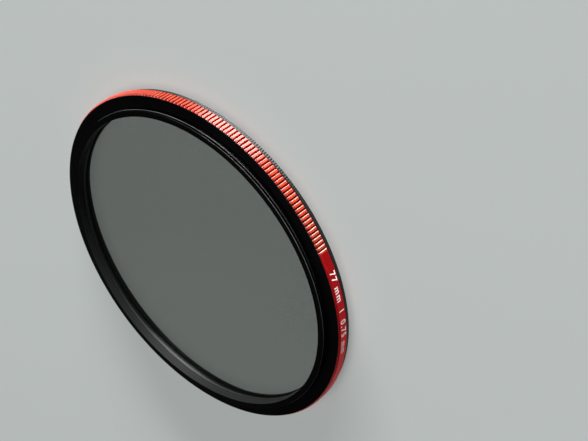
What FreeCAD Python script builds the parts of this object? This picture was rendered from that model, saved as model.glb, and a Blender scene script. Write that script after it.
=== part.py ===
import FreeCAD, Part
import math
import os

# A circular polarizing filter for a camera lens. A threaded mount with a knurled grip band screws into the lens.
# A front ring turns freely in the mount, held by a snap ring, and carries the laminated polarizer.
# Millimetres. The axis is Z. The filter lies on its front rim at Z = 0, with the lens side up.

# Filter thread: the same size on the mount, towards the lens, and in the mouth of the front ring.
thread_diameter = 77.0
thread_pitch = 0.75
rear_thread_length = 1.5

# Mount ring
thread_tube_wall = 1.4
web_thickness = 0.4
flange_lip_thickness = 0.2
skirt_wall = 1.0

# Grip band: knurled all round, apart from a plain panel for the size marking
band_width = 2.6
band_wall = 1.12
knurl_ribs = 260
knurl_groove_width = 0.5
knurl_depth = 0.32
panel_ribs = 56
panel_end_degrees = 250.6

# Front ring
rim_height = 1.06
rim_setback = 0.42
sleeve_wall = 0.92
glass_lip_thickness = 0.3
glass_lip_width = 0.35
glass_pocket_step = 0.55

# Polarizer laminate, and the ring that holds it
cover_glass_thickness = 0.5
polarizing_film_thickness = 0.1
retarder_film_thickness = 0.1
film_inset = 0.15
retainer_thickness = 0.5
retainer_recess = 0.1
spanner_notch_width = 1.2
spanner_notch_depth = 0.25

# Snap ring: an open C of flat spring wire
snap_wire_thickness = 0.5
snap_wire_width = 0.4
snap_ring_bite = 0.2
snap_ring_opening = 3.0
snap_ring_setback = 0.9

# Clearances
running_clearance = 0.15
rim_gap = 0.14
web_clearance = 0.15
bonding_gap = 0.03
glass_edge_clearance = 0.1
retainer_clearance = 0.05
snap_ring_clearance = 0.05

# Radii that follow, from the thread outwards
thread_radius = thread_diameter / 2
sleeve_radius = thread_radius + sleeve_wall
skirt_bore_radius = sleeve_radius + running_clearance
skirt_radius = skirt_bore_radius + skirt_wall
band_bore_radius = skirt_radius + bonding_gap
band_radius = band_bore_radius + band_wall
flange_radius = band_radius - knurl_depth
rim_radius = band_radius - rim_setback
snap_outer_radius = skirt_bore_radius + snap_ring_bite
snap_inner_radius = snap_outer_radius - snap_wire_thickness
skirt_groove_radius = snap_outer_radius + snap_ring_clearance
sleeve_groove_radius = sleeve_radius - snap_wire_thickness - snap_ring_clearance

# Radii that follow, from the thread inwards; a metric thread is cut 0.5413 of its pitch into the bore's wall
mount_bore_radius = thread_radius - thread_tube_wall
front_bore_radius = thread_radius - 0.5413 * thread_pitch
pocket_radius = front_bore_radius - glass_pocket_step
glass_radius = pocket_radius - glass_edge_clearance
film_radius = glass_radius - film_inset
lip_radius = glass_radius - glass_lip_width
retainer_radius = pocket_radius - retainer_clearance

# Heights that follow, from the front rim to the lens side
skirt_bottom = rim_height + rim_gap
band_top = skirt_bottom + band_width
flange_top = band_top + flange_lip_thickness
web_bottom = flange_top - web_thickness
thread_end = flange_top + rear_thread_length
snap_bottom = skirt_bottom + snap_ring_setback
snap_top = snap_bottom + snap_wire_width
snap_groove_bottom = snap_bottom - snap_ring_clearance
snap_groove_top = snap_top + snap_ring_clearance

# Heights that follow, from the web down through the laminate to the retaining ring
lip_top = web_bottom - web_clearance
glass_rear = lip_top - glass_lip_thickness
retarder_rear = glass_rear - cover_glass_thickness
polarizer_rear = retarder_rear - retarder_film_thickness
polarizer_front = polarizer_rear - polarizing_film_thickness
glass_front = polarizer_front - cover_glass_thickness
retainer_front = glass_front - retainer_thickness
pocket_mouth = retainer_front - retainer_recess

origin = FreeCAD.Vector(0, 0, 0)
axis = FreeCAD.Vector(0, 0, 1)


def turned(corners):
    """A solid turned about the axis from a closed outline of (radius, height) corners."""
    points = [FreeCAD.Vector(radius, 0, height) for radius, height in corners]
    outline = Part.makePolygon(points + points[:1])
    return Part.Face(outline).revolve(origin, axis, 360)


def disc(radius, bottom, top):
    """A plain round plate between two heights."""
    return Part.makeCylinder(radius, top - bottom, FreeCAD.Vector(0, 0, bottom))


def faceted(corners, flats, first_degrees):
    """A solid shaped by (radius, height) corners from its bottom to its top, with this many flats round it."""
    angles = [math.radians(first_degrees + 360 / flats * index) for index in range(flats)]
    sections = []
    for radius, height in corners:
        points = [FreeCAD.Vector(radius * math.cos(a), radius * math.sin(a), height) for a in angles]
        sections.append(Part.makePolygon(points + points[:1]))
    return Part.makeLoft(sections, True, True)


def groove_cutters(radius, width, depth, bottom, top, angles):
    """Upright V-shaped cutters, each as wide as stated where it meets a cylinder of this radius."""
    overshoot = 2
    tip = FreeCAD.Vector(radius - depth, 0, bottom)
    mouth = FreeCAD.Vector(overshoot * depth, overshoot * width / 2, 0)
    left = tip + mouth
    right = FreeCAD.Vector(left.x, -left.y, bottom)
    section = Part.Face(Part.makePolygon([tip, right, left, tip]))
    cutter = section.extrude(axis * (top - bottom))
    return [cutter.rotated(origin, axis, angle) for angle in angles]


def make_mount_ring():
    """Fixed ring: a thread tube on a web, a flange that covers the band, and a skirt for the front ring."""
    return turned([
        (mount_bore_radius, web_bottom),
        (mount_bore_radius, thread_end),
        (thread_radius, thread_end),
        (thread_radius, flange_top),
        (flange_radius, flange_top),
        (flange_radius, band_top),
        (skirt_radius, band_top),
        (skirt_radius, skirt_bottom),
        (skirt_bore_radius, skirt_bottom),
        (skirt_bore_radius, snap_groove_bottom),
        (skirt_groove_radius, snap_groove_bottom),
        (skirt_groove_radius, snap_groove_top),
        (skirt_bore_radius, snap_groove_top),
        (skirt_bore_radius, web_bottom),
    ])


def make_grip_band():
    """Band pressed over the skirt, with one flat for each rib and grooves that run out on the chamfers."""
    blank = faceted(
        [
            (band_radius - knurl_depth, skirt_bottom),
            (band_radius, skirt_bottom + knurl_depth),
            (band_radius, band_top - knurl_depth),
            (band_radius - knurl_depth, band_top),
        ],
        knurl_ribs,
        panel_end_degrees,
    )
    band = blank.cut(disc(band_bore_radius, skirt_bottom, band_top))
    grooves = knurl_ribs - panel_ribs + 1
    angles = [panel_end_degrees + 360 / knurl_ribs * index for index in range(grooves)]
    return band.cut(
        groove_cutters(band_radius, knurl_groove_width, knurl_depth, skirt_bottom, band_top, angles)
    )


def make_snap_ring():
    """Open spring ring that sits in the skirt's groove and reaches into the sleeve's."""
    ring = turned([
        (snap_inner_radius, snap_bottom),
        (snap_outer_radius, snap_bottom),
        (snap_outer_radius, snap_top),
        (snap_inner_radius, snap_top),
    ])
    corner = FreeCAD.Vector(-snap_ring_opening / 2, 0, snap_bottom)
    return ring.cut(Part.makeBox(snap_ring_opening, 2 * snap_outer_radius, snap_wire_width, corner))


def make_front_ring():
    """Turning ring: a rim to hold, a threaded mouth, a sleeve with a snap groove and a lip behind the glass."""
    return turned([
        (front_bore_radius, 0),
        (rim_radius, 0),
        (rim_radius, rim_height),
        (sleeve_radius, rim_height),
        (sleeve_radius, snap_groove_bottom),
        (sleeve_groove_radius, snap_groove_bottom),
        (sleeve_groove_radius, snap_groove_top),
        (sleeve_radius, snap_groove_top),
        (sleeve_radius, lip_top),
        (lip_radius, lip_top),
        (lip_radius, glass_rear),
        (pocket_radius, glass_rear),
        (pocket_radius, pocket_mouth),
        (front_bore_radius, pocket_mouth),
    ])


def make_retaining_ring():
    """Thin ring screwed in against the front glass, with two notches for a spanner."""
    ring = turned([
        (lip_radius, retainer_front),
        (retainer_radius, retainer_front),
        (retainer_radius, glass_front),
        (lip_radius, glass_front),
    ])
    corner = FreeCAD.Vector(-2 * retainer_radius, -spanner_notch_width / 2, retainer_front)
    return ring.cut(Part.makeBox(4 * retainer_radius, spanner_notch_width, spanner_notch_depth, corner))


pieces = {
    "mount_ring": make_mount_ring(),
    "grip_band": make_grip_band(),
    "snap_ring": make_snap_ring(),
    "front_ring": make_front_ring(),
    "retaining_ring": make_retaining_ring(),
    "front_cover_glass": disc(glass_radius, glass_front, polarizer_front),
    "polarizing_film": disc(film_radius, polarizer_front, polarizer_rear),
    "quarter_wave_film": disc(film_radius, polarizer_rear, retarder_rear),
    "rear_cover_glass": disc(glass_radius, retarder_rear, glass_rear),
}

os.makedirs("parts", exist_ok=True)
for name, shape in pieces.items():
    shape.exportStep(f"parts/{name}.step")
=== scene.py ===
import math
import bmesh
import bpy
import numpy as np
from mathutils import Matrix, Vector


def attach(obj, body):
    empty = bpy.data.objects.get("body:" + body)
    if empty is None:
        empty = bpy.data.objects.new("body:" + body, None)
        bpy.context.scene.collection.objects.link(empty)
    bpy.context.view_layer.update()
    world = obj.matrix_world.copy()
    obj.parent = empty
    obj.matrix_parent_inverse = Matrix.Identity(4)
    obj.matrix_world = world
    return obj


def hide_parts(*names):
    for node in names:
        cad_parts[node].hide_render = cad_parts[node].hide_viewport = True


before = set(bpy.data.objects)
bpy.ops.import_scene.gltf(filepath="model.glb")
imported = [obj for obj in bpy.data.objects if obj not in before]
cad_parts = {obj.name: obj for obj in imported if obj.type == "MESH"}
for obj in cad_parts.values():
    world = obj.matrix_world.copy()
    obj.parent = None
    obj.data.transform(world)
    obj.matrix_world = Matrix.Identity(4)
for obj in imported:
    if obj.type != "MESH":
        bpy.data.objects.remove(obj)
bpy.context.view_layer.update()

# Mount ring: the fixed ring that screws into the lens, turned from aluminium bar and anodised satin black.
# Its tube carries the male filter thread, its flange seats on the lens and its skirt holds the grip band.
# Sizes here and below are in millimetres, with heights from the front rim, and meshes are made in metres.

MM = 0.001
TURN = 2 * np.pi

thread_radius = 38.5
thread_pitch = 0.75
thread_depth = 0.46
thread_crest_degrees = 200.0
thread_row_count = 84
thread_end_margin = 0.04
thread_end_break = 0.02
crest_wear_and_highlight_depth = 0.04
lead_chamfer = 0.08
tube_bore_radius = 37.1
tube_end = 5.5
flange_top = 4.0
flange_radius = 41.4
relief_top = 4.2
web_bottom = 3.6
skirt_radius = 40.57
skirt_bore_radius = 39.57
skirt_top = 3.8
skirt_bottom = 1.2
skirt_groove_radius = 39.82
snap_groove_bottom = 2.05
snap_groove_top = 2.55
edge_break = 0.05
edge_steps = 5
mount_column_count = 480


def rounded(corners, breaks, steps):
    """A closed outline of (radius, height) corners with every corner eased.

    One break before a corner the outline leaves its side, follows a quadratic curve that has the corner as
    its middle control point, and joins the next side one break after it. One more point on each side, half a
    break further out, keeps flats flat.
    """
    corners = np.asarray(corners, float)
    breaks = np.broadcast_to(breaks, len(corners))[:, None, None]
    back = np.roll(corners, 1, axis=0) - corners
    ahead = np.roll(corners, -1, axis=0) - corners
    back = (back / np.linalg.norm(back, axis=1, keepdims=True))[:, None]
    ahead = (ahead / np.linalg.norm(ahead, axis=1, keepdims=True))[:, None]
    share = np.linspace(0, 1, steps)[None, :, None]
    curve = corners[:, None] + breaks * ((1 - share) ** 2 * back + share ** 2 * ahead)
    before = corners[:, None] + 1.5 * breaks * back
    after = corners[:, None] + 1.5 * breaks * ahead
    return np.concatenate([before, curve, after], axis=1).reshape(-1, 2)


def thread_lift(height, angle, pitch, crest_degrees):
    """How far a thread's ridge stands out at each height and angle, from 0 at its root to 1 on its crest.

    The ridge climbs one pitch a turn, so its phase is the height in pitches less the angle in turns. Over one
    pitch the lift is a triangle wave, cut flat over an eighth of the pitch at the crest and a quarter at the
    root. A share of a smooth step is mixed in, which eases the corners.
    """
    root_flat, crest_flat, ease = 0.25, 0.125, 0.4
    phase = height / pitch - (angle - math.radians(crest_degrees)) / TURN
    triangle = np.abs((phase % 1) * 2 - 1)
    lift = np.clip((triangle - root_flat) / (1 - crest_flat - root_flat), 0, 1)
    smooth_step = lift * lift * (3 - 2 * lift)
    return smooth_step * ease + lift * (1 - ease)


def stacked(rows, angle):
    """Two grids, of radius and of height, from pairs stacked in order round a ring's section.

    Each of a pair is a number, a column or a whole grid, and is spread over all the angles of the ring.
    """
    spread = [np.broadcast_arrays(radius, height, angle) for radius, height in rows]
    return np.concatenate([grids[0] for grids in spread]), np.concatenate([grids[1] for grids in spread])


def turned_piece(name, radius, height, angle, body, node, sharp_degrees, marks):
    """A closed ring: rows go round its section clockwise, columns round the axis, and both ends join up.

    A point stands at (radius cos angle, radius sin angle, height). Marks are numbers from 0 to 1 on the same
    grid, kept as attributes for the material.
    """
    radius, height, angle = np.broadcast_arrays(radius, height, angle)
    points = np.stack([radius * np.cos(angle), radius * np.sin(angle), height], axis=-1) * MM
    index = np.arange(radius.size).reshape(radius.shape)
    below = np.roll(index, -1, axis=0)
    quads = np.stack([index, below, np.roll(below, -1, axis=1), np.roll(index, -1, axis=1)], axis=-1)
    mesh = bpy.data.meshes.new(name)
    mesh.from_pydata(points.reshape(-1, 3), [], quads.reshape(-1, 4))
    mesh.shade_smooth()
    mesh.set_sharp_from_angle(angle=math.radians(sharp_degrees))
    for mark, values in marks.items():
        values = np.ascontiguousarray(np.broadcast_to(values, radius.shape), np.float32)
        mesh.attributes.new(mark, "FLOAT", "POINT").data.foreach_set("value", values.ravel())
    piece = bpy.data.objects.new(name, mesh)
    bpy.context.scene.collection.objects.link(piece)
    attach(piece, body)
    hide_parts(node)
    return piece


class Shade:
    """A socket of a material's node tree. Arithmetic on it adds Math nodes."""

    def __init__(self, tree, socket=None):
        self.tree = tree
        self.socket = socket

    def node(self, kind, sockets, output=0, **settings):
        """Adds a node of this kind: its settings are set first, then each socket gets its value or link."""
        made = self.tree.nodes.new(kind)
        for setting, value in settings.items():
            setattr(made, setting, value)
        for socket, value in sockets.items():
            if isinstance(value, Shade):
                self.tree.links.new(value.socket, made.inputs[socket])
            else:
                made.inputs[socket].default_value = value
        return Shade(self.tree, made.outputs[output] if made.outputs else None)

    def output(self, name):
        """Another output of the node that this socket belongs to."""
        return Shade(self.tree, self.socket.node.outputs[name])

    def math(self, operation, first, second):
        """A Math node on two values, of which either may be a plain number."""
        return self.node("ShaderNodeMath", {0: first, 1: second}, operation=operation)

    def __add__(self, other):
        return self.math("ADD", self, other)

    __radd__ = __add__

    def __sub__(self, other):
        return self.math("SUBTRACT", self, other)

    def __rsub__(self, other):
        return self.math("SUBTRACT", other, self)

    def __mul__(self, other):
        return self.math("MULTIPLY", self, other)

    __rmul__ = __mul__

    def __truediv__(self, other):
        return self.math("DIVIDE", self, other)

    def __pow__(self, other):
        return self.math("POWER", self, other)

    def mix(self, first, second):
        """The first colour where this value is 0, the second where it is 1."""
        return self.node("ShaderNodeMix", {0: self, 6: first, 7: second}, 2, data_type="RGBA")

    def span(self, low, high):
        """This value stretched so that low becomes 0 and high becomes 1, held between them."""
        return self.node("ShaderNodeMapRange", {0: self, 1: low, 2: high}, clamp=True)

    def bump(self, height):
        """A normal bent by this value, where 1 stands this many metres high."""
        return self.node("ShaderNodeBump", {"Strength": 1.0, "Distance": height, "Height": self})


def new_finish(name):
    """An empty material, and the start of its expressions."""
    material = bpy.data.materials.new(name)
    material.use_nodes = True
    material.node_tree.nodes.clear()
    return material, Shade(material.node_tree)


def mark_on_piece(start, name):
    """A mark from 0 to 1 that the piece keeps as an attribute, and 0 where it has none."""
    return start.node("ShaderNodeAttribute", {}, "Fac", attribute_name=name)


def place_on_lathe(start):
    """Distance from the axis, and height, in metres."""
    point = start.node("ShaderNodeTexCoord", {}, "Object")
    flat = start.node("ShaderNodeVectorMath", {0: point, 1: (1, 1, 0)}, operation="MULTIPLY")
    out = start.node("ShaderNodeVectorMath", {0: flat}, "Value", operation="LENGTH")
    up = start.node("ShaderNodeSeparateXYZ", {0: point}, "Z")
    return out, up


def turning_marks(start, spacing):
    """Fine rings that a lathe tool leaves: noise over distance from the axis and height, alike all round."""
    out, up = place_on_lathe(start)
    ring = start.node("ShaderNodeCombineXYZ", {0: out / spacing, 1: up / spacing, 2: 0.0})
    return start.node("ShaderNodeTexNoise", {"Vector": ring, "Scale": 1.0, "Detail": 2.0, "Roughness": 0.6})


def cloudiness(start, size):
    """Slow unevenness in a finish: noise with patches of about this size in metres."""
    point = start.node("ShaderNodeTexCoord", {}, "Object")
    return start.node("ShaderNodeTexNoise", {"Vector": point, "Scale": 1 / size, "Detail": 3.0})


tool_ring_spacing = 0.06 * MM
tool_ring_height = 0.0012 * MM
dye_patch_size = 6 * MM
blasted_deep = (0.0067, 0.0069, 0.0069, 1)
blasted_pale = (0.0092, 0.0095, 0.0095, 1)


def anodised(name, deep, pale, edge_wear_and_highlight, rough, constants):
    """Dyed anodising on turned aluminium: colour that drifts a little, paler marked edges and tool rings.

    Where the piece has the mark matt, the surface was blasted before dyeing, so it is greyer and scatters
    light. The constants are sockets that are the same all over the piece.
    """
    material, start = new_finish(name)
    rings = turning_marks(start, tool_ring_spacing)
    drift = cloudiness(start, dye_patch_size)
    edge = mark_on_piece(start, "edge")
    matt = mark_on_piece(start, "matt")
    tone = (rings * 0.5 + drift * 0.5).span(0.3, 0.7)
    # Paler marked edges: wear, and on the mount's thread crests also a painted highlight.
    edge_wear_and_highlight_share = edge * (0.5 + 0.5 * drift.span(0.3, 0.7))
    body = matt.mix(tone.mix(deep, pale), tone.mix(blasted_deep, blasted_pale))
    shader = start.node("ShaderNodeBsdfPrincipled", {
        "Base Color": edge_wear_and_highlight_share.mix(body, edge_wear_and_highlight),
        "Roughness": rough + rings * 0.08 + matt * 0.35,
        "Normal": rings.bump(tool_ring_height),
        **constants,
    })
    start.node("ShaderNodeOutputMaterial", {"Surface": shader})
    return material


mount_corners = [
    (thread_radius - thread_depth, flange_top),
    (flange_radius, flange_top),
    (flange_radius, skirt_top),
    (skirt_radius, skirt_top),
    (skirt_radius, skirt_bottom),
    (skirt_bore_radius, skirt_bottom),
    (skirt_bore_radius, snap_groove_bottom),
    (skirt_groove_radius, snap_groove_bottom),
    (skirt_groove_radius, snap_groove_top),
    (skirt_bore_radius, snap_groove_top),
    (skirt_bore_radius, web_bottom),
    (tube_bore_radius, web_bottom),
    (tube_bore_radius, tube_end),
    (thread_radius - lead_chamfer, tube_end),
]
mount_breaks = np.full(len(mount_corners), edge_break)
mount_breaks[[0, -1]] = thread_end_break
mount_outline = rounded(mount_corners, mount_breaks, edge_steps)
mount_angle = np.linspace(0, TURN, mount_column_count, endpoint=False)[None]
thread_height = np.linspace(
    tube_end - thread_end_margin, flange_top + thread_end_margin, thread_row_count
)[:, None]
crest = thread_lift(thread_height, mount_angle, thread_pitch, thread_crest_degrees)
ridge_radius = thread_radius - thread_depth * (1 - crest)
lead_radius = thread_radius - lead_chamfer + (tube_end - thread_height)
relief_radius = thread_radius - thread_depth + np.clip(thread_height - relief_top, 0, thread_depth)
thread_rows = np.minimum(np.minimum(ridge_radius, lead_radius), relief_radius)
mount_radius, mount_height = stacked(
    [(mount_outline[:, :1], mount_outline[:, 1:]), (thread_rows, thread_height)], mount_angle
)
# The thread's crests are painted paler: partly wear, partly a painted highlight along each crest.
crest_wear_and_highlight = np.clip((thread_rows - thread_radius + crest_wear_and_highlight_depth) / crest_wear_and_highlight_depth, 0, 1) ** 2
mount_edge = np.concatenate([np.zeros((len(mount_outline), mount_angle.size)), crest_wear_and_highlight])
mount_matt = np.where(mount_radius < tube_bore_radius + 0.01, 1.0, 0.0)
mount_ring = turned_piece(
    "mount_ring_turned", mount_radius, mount_height, mount_angle, "mount", "mount_ring",
    sharp_degrees=50, marks={"edge": mount_edge, "matt": mount_matt},
)
# Its pale edge colour is wear, and on the thread crests a painted highlight as well.
black_anodising = anodised(
    "black_anodising",
    deep=(0.0012, 0.0012, 0.0014, 1),
    pale=(0.0022, 0.0022, 0.0025, 1),
    edge_wear_and_highlight=(0.1, 0.1, 0.1, 1),
    rough=0.16,
    constants={"IOR": 1.5, "Specular IOR Level": 0.1, "Anisotropic": 0.6, "Anisotropic Rotation": 0.25},
)
mount_ring.data.materials.append(black_anodising)

# Grip band: a thin aluminium band pressed over the skirt, anodised bright red after its knurl was cut.
# Each groove of the straight knurl is a V, a little deeper than the chamfers, so it opens at both edges.
# A plain panel, where the knurl is left out, takes the marking.

band_radius = 41.717
band_bore_radius = 40.6
band_bottom = skirt_bottom
band_top = skirt_top
bore_break = 0.04
shoulder = 0.05
chamfer_radius = 41.4
smallest_chamfer = 0.004
knurl_count = 260
groove_count = 205
first_groove_degrees = 250.6
groove_half_width = 0.25
groove_depth = 0.42
groove_edge_round = 0.03
groove_root_round = 0.03
rib_edge_wear_width = 0.045
panel_columns_per_rib = 4

knurl_step = TURN / knurl_count


def groove_depth_at(offset):
    """Depth of a V groove at this distance across it: straight flanks, with the lip and the root rounded.

    Each rounding is the parabola that meets the straight flank, and the rib's face, without a kink.
    """
    x = np.abs(offset)
    slope = groove_depth / groove_half_width
    flank = slope * (groove_half_width - x)
    lip_reach = np.clip(groove_half_width + groove_edge_round - x, 0, None)
    lip = slope * lip_reach ** 2 / (4 * groove_edge_round)
    root = groove_depth - slope * (x * x + groove_root_round ** 2) / (2 * groove_root_round)
    depth = np.where(x > groove_half_width - groove_edge_round, lip, flank)
    return np.where(x < groove_root_round, root, depth)


half_groove = np.array([0.0, 0.015, 0.03, 0.12, 0.22, 0.235, 0.25, 0.265, 0.28, 0.31, 0.4])
rib_middle = -0.5
groove_offsets = np.concatenate([[rib_middle], -half_groove[:0:-1], half_groove])
groove_centres = math.radians(first_groove_degrees) + knurl_step * np.arange(groove_count)
groove_angles = groove_centres[:, None] + groove_offsets[None] / band_radius
panel_columns = panel_columns_per_rib * (knurl_count - groove_count)
panel_angles = groove_centres[-1] + knurl_step * (0.5 + np.arange(panel_columns) / panel_columns_per_rib)
band_angle = np.concatenate([groove_angles.ravel(), panel_angles])[None]
groove_across = np.tile(groove_offsets, groove_count)


def plain_on_panel(values):
    """A row of values over the knurl, followed by zeros over the panel."""
    return np.concatenate([values, np.zeros(panel_columns)])[None]


# A painted highlight: one flank of each groove is painted pale near the rib's face, on the same side all
# round.
highlight_across = [-0.285, -0.27, -0.235, -0.185]
painted_highlight_strength = [0, 1, 1, 0]
rib_depth = plain_on_panel(groove_depth_at(groove_across))
rib_edge = plain_on_panel(np.exp(-((np.abs(groove_across) - groove_half_width) / rib_edge_wear_width) ** 2))
rib_painted_highlight = plain_on_panel(np.interp(groove_across, highlight_across, painted_highlight_strength))
knurled = plain_on_panel(np.ones(groove_across.size))

rib_radius = band_radius - rib_depth
chamfer = np.clip(rib_radius - chamfer_radius, smallest_chamfer, None)
chamfer_foot = rib_radius - chamfer
chamfer_share = np.array([0.0, 0.08, 0.5, 0.92, 1.0])[:, None]
face_share = np.array([0.03, 0.06, 0.94, 0.97])[:, None]
face_height = band_top - band_bottom - 2 * chamfer
band_radius_grid, band_height_grid = stacked([
    (band_bore_radius, band_top - bore_break),
    (band_bore_radius + bore_break, band_top),
    (chamfer_foot - shoulder, band_top),
    (chamfer_foot + chamfer * chamfer_share, band_top - chamfer * chamfer_share),
    (rib_radius, band_top - chamfer - face_height * face_share),
    (chamfer_foot + chamfer * chamfer_share[::-1], band_bottom + chamfer * chamfer_share[::-1]),
    (chamfer_foot - shoulder, band_bottom),
    (band_bore_radius + bore_break, band_bottom),
    (band_bore_radius, band_bottom + bore_break),
], band_angle)
chamfer_edge = [1, 0.6, 0, 0.6, 1]
face_edge = [0.5, 0, 0, 0.5]
row_edge = np.array([0, 0, 0.3, *chamfer_edge, *face_edge, *chamfer_edge, 0.3, 0, 0])[:, None]
# The end mark also carries painted shade on the bore, shoulders, chamfers and ribs' ends.
chamfer_end = [1, 1, 1, 1, 0.5]
face_end = [0, 0, 0, 0]
row_end = np.array([1, 1, 1, *chamfer_end, *face_end, *chamfer_end[::-1], 1, 1, 1])[:, None]
grip_band = turned_piece(
    "grip_band_knurled", band_radius_grid, band_height_grid, band_angle, "mount", "grip_band",
    sharp_degrees=40,
    marks={
        "edge": np.maximum(row_edge, rib_edge),
        "flank": rib_painted_highlight,
        "groove": rib_depth / groove_depth,
        "end": row_end,
        "knurl": knurled,
    },
)

# Painted shade darkens the grooves and the ribs' ends, a painted highlight lightens one flank, and edges show
# wear.
painted_shade_red = (0.25, 0.003, 0.0025, 1)
# The pale pink is a painted highlight on one flank of each groove.
painted_highlight_pink = (0.95, 0.57, 0.46, 1)
worn_red = (0.8, 0.07, 0.04, 1)
red_anodising, start = new_finish("red_anodising")
red_rings = turning_marks(start, tool_ring_spacing)
red_drift = cloudiness(start, dye_patch_size)
red_edge = mark_on_piece(start, "edge")
red_painted_highlight = mark_on_piece(start, "flank")
red_groove = mark_on_piece(start, "groove")
red_end = mark_on_piece(start, "end")
red_knurl = mark_on_piece(start, "knurl")
red_tone = (red_rings * 0.5 + red_drift * 0.5).span(0.3, 0.7)
panel_red = red_tone.mix((0.8, 0.006, 0.01, 1), (0.9, 0.009, 0.014, 1))
rib_red = red_tone.mix((0.39, 0.027, 0.004, 1), (0.47, 0.036, 0.006, 1))
dyed_red = red_knurl.mix(panel_red, rib_red)
# Painted shade: the grooves, bar their pale flank, the ribs' ends and chamfers, and faintly the panel's.
red_groove_shade = red_groove.span(0.0, 0.12) * (1 - red_painted_highlight)
red_painted_shade = red_groove_shade * 0.9 + red_end * (0.05 + 0.6 * red_knurl)
shaded_red = red_painted_shade.span(0.0, 1.0).mix(dyed_red, painted_shade_red)
# Painted highlight: pale colour laid on one flank of each groove.
highlighted_red = (red_painted_highlight * (0.8 + 0.2 * red_drift)).mix(shaded_red, painted_highlight_pink)
band_colour = (red_edge * (0.1 + 0.2 * red_drift) * (1 - red_painted_highlight)).mix(highlighted_red, worn_red)
red_shader = start.node("ShaderNodeBsdfPrincipled", {
    "Base Color": band_colour,
    "Metallic": 0.95 - 0.8 * red_knurl * (1 - red_groove_shade) - 0.28 * red_end * (1 - red_knurl),
    "Roughness": 0.34 + red_knurl * 0.1 + red_rings * 0.06 - red_end * 0.2,
    "IOR": 1.77,
    "Specular IOR Level": 0.84,
    "Anisotropic": 1.0,
    "Anisotropic Rotation": 0.25,
    "Normal": red_rings.bump(tool_ring_height),
})
start.node("ShaderNodeOutputMaterial", {"Surface": red_shader})
grip_band.data.materials.append(red_anodising)

# Size marking: white figures fired onto the band's plain panel, with their tops towards the front rim.
# They give the thread's diameter and pitch, as a thin closed film that follows the band's curve.

marking_start_degrees = 243.6
marking_height = 1.5
marking_middle = (band_bottom + band_top) / 2
ink_thickness = 0.01
figure_boldness = 0.01
figure_spacing = 1.25
figure_cap = 0.69
figure_overshoot = 0.025
weld_distance = 0.000001

figures = bpy.data.curves.new("size_figures", "FONT")
figures.body = "77 mm  |  0.75 mm"
figures.extrude = ink_thickness
figures.space_character = figure_spacing
figures.offset = figure_boldness
setting = bpy.data.objects.new("size_figures", figures)
bpy.context.scene.collection.objects.link(setting)
bpy.context.view_layer.update()
marking_mesh = bpy.data.meshes.new_from_object(
    setting.evaluated_get(bpy.context.evaluated_depsgraph_get())
)
bpy.data.objects.remove(setting)
welded = bmesh.new()
welded.from_mesh(marking_mesh)
bmesh.ops.remove_doubles(welded, verts=welded.verts, dist=weld_distance)
welded.to_mesh(marking_mesh)
welded.free()


def wrap_on_panel(flat, cap_height, overshoot):
    """Flat lettering laid on the band: its length runs round the band, its height along the axis.

    The angle falls by length over radius, the height falls by the letter's height, and the film's thickness
    adds to the band's radius. Nothing reaches past where the round figures do, so the bar is as tall as they
    are.
    """
    scale = marking_height / cap_height
    rise = np.clip(flat[:, 1], -overshoot, cap_height + overshoot)
    angle = math.radians(marking_start_degrees) - flat[:, 0] * scale / band_radius
    radius = band_radius + flat[:, 2]
    height = marking_middle - (rise - cap_height / 2) * scale
    return np.stack([radius * np.cos(angle), radius * np.sin(angle), height], axis=-1) * MM


flat_marking = np.empty(len(marking_mesh.vertices) * 3)
marking_mesh.vertices.foreach_get("co", flat_marking)
wrapped = wrap_on_panel(flat_marking.reshape(-1, 3), figure_cap, figure_overshoot)
marking_mesh.vertices.foreach_set("co", wrapped.ravel())
marking_mesh.materials.clear()
size_marking = bpy.data.objects.new("size_marking", marking_mesh)
bpy.context.scene.collection.objects.link(size_marking)
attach(size_marking, "mount")

ink_grain_size = 0.4 * MM
ink_grain_height = 0.004 * MM
white_ink, start = new_finish("white_ink")
ink_grain = cloudiness(start, ink_grain_size)
ink_colour = ink_grain.span(0.3, 0.7).mix((0.86, 0.85, 0.83, 1), (0.94, 0.93, 0.91, 1))
ink_shader = start.node("ShaderNodeBsdfPrincipled", {
    "Base Color": ink_colour,
    "Roughness": 0.5 + ink_grain * 0.2,
    "Normal": ink_grain.bump(ink_grain_height),
})
start.node("ShaderNodeOutputMaterial", {"Surface": ink_shader})
marking_mesh.materials.append(white_ink)

# Front ring: the ring that the hand turns, in dark grey anodised aluminium, with a fine knurl on its rim.
# Its mouth has a female filter thread for a cap or hood. Its sleeve runs inside the mount's skirt, and has a
# lip behind the glass.

rim_height = 1.06
rim_flat_radius = 41.08
tooth_tip_radius = 41.3
tooth_root_radius = 41.25
tooth_count = 432
sleeve_radius = 39.42
sleeve_groove_radius = 38.87
lip_top = 3.45
lip_radius = 37.094
glass_rear = 3.15
pocket_radius = 37.544
mouth_radius = 38.094
mouth_depth = 1.35
mouth_row_count = 36
mouth_end_margin = 0.03
mouth_end_break = 0.01
mouth_thread_depth = 0.406
mouth_lead_radius = 38.6
run_out_margin = 0.05
run_out_length = 0.2
front_edge_break = 0.04
front_edge_steps = 2

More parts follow.
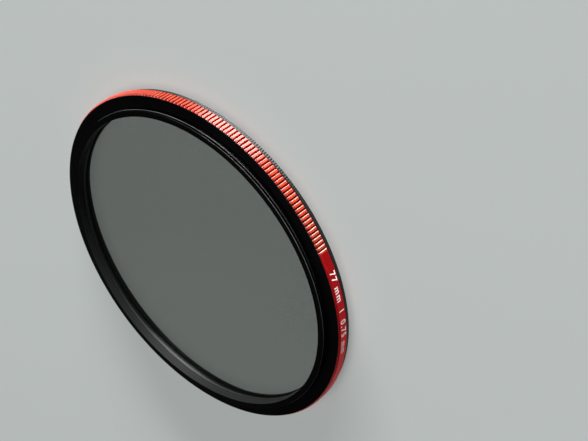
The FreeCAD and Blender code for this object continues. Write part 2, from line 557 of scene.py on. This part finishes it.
front_angle = np.linspace(0, TURN, 2 * tooth_count, endpoint=False)[None]
tooth_radius = np.where(np.arange(2 * tooth_count) % 2, tooth_root_radius, tooth_tip_radius)[None]
rear_corners = [
    (mouth_radius, mouth_depth),
    (pocket_radius, mouth_depth),
    (pocket_radius, glass_rear),
    (lip_radius, glass_rear),
    (lip_radius, lip_top),
    (sleeve_radius, lip_top),
    (sleeve_radius, snap_groove_top),
    (sleeve_groove_radius, snap_groove_top),
    (sleeve_groove_radius, snap_groove_bottom),
    (sleeve_radius, snap_groove_bottom),
    (sleeve_radius, rim_height),
    (rim_flat_radius, rim_height),
]
front_breaks = np.full(len(rear_corners), front_edge_break)
front_breaks[[0, -1]] = mouth_end_break
rear_outline = rounded(rear_corners, front_breaks, front_edge_steps)
tooth_rise = tooth_radius - rim_flat_radius
mouth_height = np.linspace(0.0, mouth_depth - mouth_end_margin, mouth_row_count)[:, None]
mouth_lift = thread_lift(mouth_height, front_angle, thread_pitch, thread_crest_degrees)
run_out = np.clip((mouth_depth - run_out_margin - mouth_height) / run_out_length, 0, 1)
mouth_thread_radius = mouth_radius + mouth_thread_depth * mouth_lift * run_out
mouth_rows = np.maximum(mouth_thread_radius, mouth_lead_radius - mouth_height)
front_radius_grid, front_height_grid = stacked([
    (rear_outline[:, :1], rear_outline[:, 1:]),
    (tooth_radius, rim_height - tooth_rise),
    (tooth_radius, tooth_rise),
    (rim_flat_radius, 0.0),
    (mouth_rows, mouth_height),
], front_angle)
front_edge = np.where(front_radius_grid > tooth_tip_radius - 0.02, 1.0, 0.0)
front_matt = np.where(front_radius_grid < lip_radius + 0.1, 1.0, 0.0)
front_ring = turned_piece(
    "front_ring_knurled", front_radius_grid, front_height_grid, front_angle, "front", "front_ring",
    sharp_degrees=12, marks={"edge": front_edge, "matt": front_matt},
)
grey_anodising = anodised(
    "grey_anodising",
    deep=(0.002, 0.002, 0.0021, 1),
    pale=(0.004, 0.004, 0.0043, 1),
    edge_wear_and_highlight=(0.01, 0.01, 0.0105, 1),
    rough=0.48,
    constants={"IOR": 1.6, "Specular IOR Level": 0.55, "Anisotropic": 0.92, "Anisotropic Rotation": 0.25},
)
front_ring.data.materials.append(grey_anodising)

# Rear cover glass: a thin round plate of optical glass, polished flat, with a bevelled edge.
# A coating on its outer face takes most of the reflection away. It lies against the lip of the front ring.

glass_radius = 37.444
glass_bevel = 0.06
retarder_rear = 2.65
plate_gap = 0.001
plate_column_count = 240


def coated_glass(name, outer_face, inner_face):
    """Clear glass: see-through, with a faint green gloss on the coated face and none on the cemented one.

    The gloss is 1 percent seen square on, and rises with the fifth power of how edge-on the face is seen.
    """
    material, start = new_finish(name)
    up = place_on_lathe(start)[1]
    outside = up.span(inner_face * MM, outer_face * MM)
    edge_on = start.node("ShaderNodeLayerWeight", {"Blend": 0.5}, "Facing")
    gloss = 0.01 + 0.7 * edge_on ** 5.0
    coating = cloudiness(start, 30 * MM).mix((0.35, 0.55, 0.45, 1), (0.45, 0.55, 0.6, 1))
    mirror = start.node("ShaderNodeBsdfPrincipled", {
        "Base Color": coating,
        "Metallic": 1.0,
        "Roughness": 0.03,
    })
    clear = start.node("ShaderNodeBsdfTransparent", {"Color": (0.985, 0.992, 0.985, 1)})
    shader = start.node("ShaderNodeMixShader", {0: gloss * outside, 1: clear, 2: mirror})
    start.node("ShaderNodeOutputMaterial", {"Surface": shader})
    return material


def round_plate(name, radius, bottom, top, bevel, node):
    """A closed round plate with a bevelled edge, a hair thinner than its node, so no two share a face.

    Each of its four circles stands at its radius and height with a point every degree and a half, and a flat
    cap closes each end.
    """
    angle = np.linspace(0, TURN, plate_column_count, endpoint=False)[None]
    upper, lower = top - plate_gap, bottom + plate_gap
    circle_radius = np.array([radius - bevel, radius, radius, radius - bevel])[:, None]
    circle_height = np.array([upper, upper - bevel, lower + bevel, lower])[:, None]
    circle_radius, circle_height, angle = np.broadcast_arrays(circle_radius, circle_height, angle)
    points = np.stack([circle_radius * np.cos(angle), circle_radius * np.sin(angle), circle_height], axis=-1)
    index = np.arange(angle.size).reshape(angle.shape)
    ahead = np.roll(index, -1, axis=1)
    quads = np.stack([index[:-1], index[1:], ahead[1:], ahead[:-1]], axis=-1).reshape(-1, 4)
    caps = [index[0].tolist(), index[-1, ::-1].tolist()]
    mesh = bpy.data.meshes.new(name)
    mesh.from_pydata(points.reshape(-1, 3) * MM, [], quads.tolist() + caps)
    piece = bpy.data.objects.new(name, mesh)
    bpy.context.scene.collection.objects.link(piece)
    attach(piece, "front")
    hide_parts(node)
    return piece


rear_glass = round_plate(
    "rear_glass_plate", glass_radius, retarder_rear, glass_rear, glass_bevel, "rear_cover_glass"
)
rear_glass.data.materials.append(coated_glass("rear_coated_glass", glass_rear, retarder_rear))

# Quarter-wave film: a clear stretched plastic film that turns the polarized light's vibration circular.
# It is cut a little smaller than the glasses and cemented to the rear one.

film_radius = 37.294
film_bevel = 0.005
polarizer_rear = 2.55


def clear_film(name, colour, opacity):
    """A see-through film with no gloss of its own, because it is cemented on both faces."""
    material, start = new_finish(name)
    streaks = cloudiness(start, 20 * MM)
    dark = tuple(0.92 * channel for channel in colour[:3]) + (1,)
    shader = start.node("ShaderNodeBsdfPrincipled", {
        "Base Color": streaks.mix(dark, colour),
        "Roughness": 0.5,
        "Specular IOR Level": 0.0,
        "Alpha": opacity,
    })
    start.node("ShaderNodeOutputMaterial", {"Surface": shader})
    return material


retarder = round_plate(
    "retarder_sheet", film_radius, polarizer_rear, retarder_rear, film_bevel, "quarter_wave_film"
)
retarder.data.materials.append(clear_film("retarder_film", colour=(0.05, 0.05, 0.045, 1), opacity=0.01))

# Polarizing film: the dyed linear polarizer itself, a stretched plastic film of neutral grey.
# It takes away a large share of the light, and is cemented between the quarter-wave film and the front glass.

polarizer_front = 2.45
polarizer = round_plate(
    "polarizer_sheet", film_radius, polarizer_front, polarizer_rear, film_bevel, "polarizing_film"
)
polarizer.data.materials.append(clear_film("polarizing_film", colour=(0.012, 0.014, 0.012, 1), opacity=0.32))

# Front cover glass: the twin of the rear one, in the same coated optical glass.
# It is cemented over the films, with its coated face to the front.

glass_front = 1.95
front_glass = round_plate(
    "front_glass_plate", glass_radius, glass_front, polarizer_front, glass_bevel, "front_cover_glass"
)
front_glass.data.materials.append(coated_glass("front_coated_glass", glass_front, polarizer_front))

# Retaining ring: a thin aluminium ring, anodised black as the mount is, with two notches for a pin spanner.
# It is screwed in against the front glass. The CAD shape is right, so it only gets its finish.

retaining_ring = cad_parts["retaining_ring"]
retaining_ring.data.materials.clear()
retaining_ring.data.materials.append(black_anodising)

# Snap ring: an open ring of flat spring-steel wire, bright from drawing.
# It is closed into the facing grooves last, so that the two rings stay together. The CAD shape is right.

wire_line_spacing = 0.04 * MM
wire_line_height = 0.001 * MM
spring_steel, start = new_finish("spring_steel")
drawn = turning_marks(start, wire_line_spacing)
steel_shader = start.node("ShaderNodeBsdfPrincipled", {
    "Base Color": drawn.mix((0.36, 0.36, 0.37, 1), (0.5, 0.5, 0.51, 1)),
    "Metallic": 1.0,
    "Roughness": 0.25 + drawn * 0.15,
    "Normal": drawn.bump(wire_line_height),
})
start.node("ShaderNodeOutputMaterial", {"Surface": steel_shader})
snap_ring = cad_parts["snap_ring"]
snap_ring.data.materials.clear()
snap_ring.data.materials.append(spring_steel)

# Floor and light: a plain pale painted floor, a low soft lamp on one side that rakes the knurl, and a broad
# one overhead, all in metres. Where the floor is looked at, directly, in a reflection or through the glass,
# half of it is a pale tone of its own, so that it stays plain and still keeps the filter's shadow.

floor_reach = 4.0
own_tone_share = 0.5
floor_mesh = bpy.data.meshes.new("floor")
floor_corners = np.array([(-1, -1, 0), (1, -1, 0), (1, 1, 0), (-1, 1, 0)]) * floor_reach
floor_mesh.from_pydata(floor_corners, [], [(0, 1, 2, 3)])
floor = bpy.data.objects.new("floor", floor_mesh)
bpy.context.scene.collection.objects.link(floor)
floor_paint, start = new_finish("floor_paint")
floor_shader = start.node("ShaderNodeBsdfPrincipled", {
    "Base Color": cloudiness(start, 0.3).mix((0.7, 0.745, 0.73, 1), (0.74, 0.78, 0.765, 1)),
    "Roughness": 0.9,
    "Specular IOR Level": 0.1,
})
sight = start.node("ShaderNodeLightPath", {}, "Is Camera Ray")
seen = (sight + sight.output("Is Glossy Ray") + sight.output("Is Transmission Ray")).span(0.0, 1.0)
floor_glow = start.node("ShaderNodeEmission", {"Color": (0.47, 0.505, 0.495, 1), "Strength": 1.0})
floor_seen = start.node("ShaderNodeMixShader", {0: seen * own_tone_share, 1: floor_shader, 2: floor_glow})
start.node("ShaderNodeOutputMaterial", {"Surface": floor_seen})
floor_mesh.materials.append(floor_paint)


def soft_lamp(name, azimuth, elevation, distance, width, height, power):
    """A rectangular soft lamp on a circle round the object, aimed at the middle of the filter."""
    light = bpy.data.lights.new(name, "AREA")
    light.shape = "RECTANGLE"
    light.size = width
    light.size_y = height
    light.energy = power
    lamp = bpy.data.objects.new(name, light)
    bpy.context.scene.collection.objects.link(lamp)
    turn, rise = math.radians(azimuth), math.radians(elevation)
    away = Vector((math.cos(turn) * math.cos(rise), math.sin(turn) * math.cos(rise), math.sin(rise)))
    lamp.location = away * distance
    lamp.rotation_euler = away.to_track_quat("Z", "Y").to_euler()


soft_lamp("raking_lamp", azimuth=316, elevation=6, distance=1.5, width=1.1, height=0.2, power=80)
soft_lamp("overhead_lamp", azimuth=90, elevation=74, distance=1.6, width=1.0, height=1.0, power=8.5)

world = bpy.data.worlds.new("studio")
bpy.context.scene.world = world
world.use_nodes = True
world.node_tree.nodes.clear()
start = Shade(world.node_tree)
sky_direction = start.node("ShaderNodeTexCoord", {}, "Generated")
sky_height = start.node("ShaderNodeSeparateXYZ", {0: sky_direction}, "Z")
sky = sky_height.span(0.1, 0.4).mix((0.28, 0.29, 0.285, 1), (0.028, 0.029, 0.029, 1))
background = start.node("ShaderNodeBackground", {"Color": sky, "Strength": 1.0})
start.node("ShaderNodeOutputWorld", {"Surface": background})

# Camera: the photograph's view, from above the rim on the lens side, with the camera rolled well over.
# Its place is in metres, and its tilt is the angle by which it looks down.

camera_place = Vector((-0.00565, -0.2307, 0.1512))
camera_tilt = math.radians(37.56)
camera_roll = math.radians(-126.42)
lens = bpy.data.cameras.new("camera")
lens.sensor_width = 36.0
lens.lens = 73.47
lens.clip_start = 0.01
camera = bpy.data.objects.new("camera", lens)
bpy.context.scene.collection.objects.link(camera)
camera.matrix_world = (
    Matrix.Translation(camera_place)
    @ Matrix.Rotation(math.radians(90) - camera_tilt, 4, "X")
    @ Matrix.Rotation(camera_roll, 4, "Z")
)
bpy.context.scene.camera = camera
bpy.context.scene.view_settings.view_transform = "Standard"
bpy.context.scene.cycles.transparent_max_bounces = 32
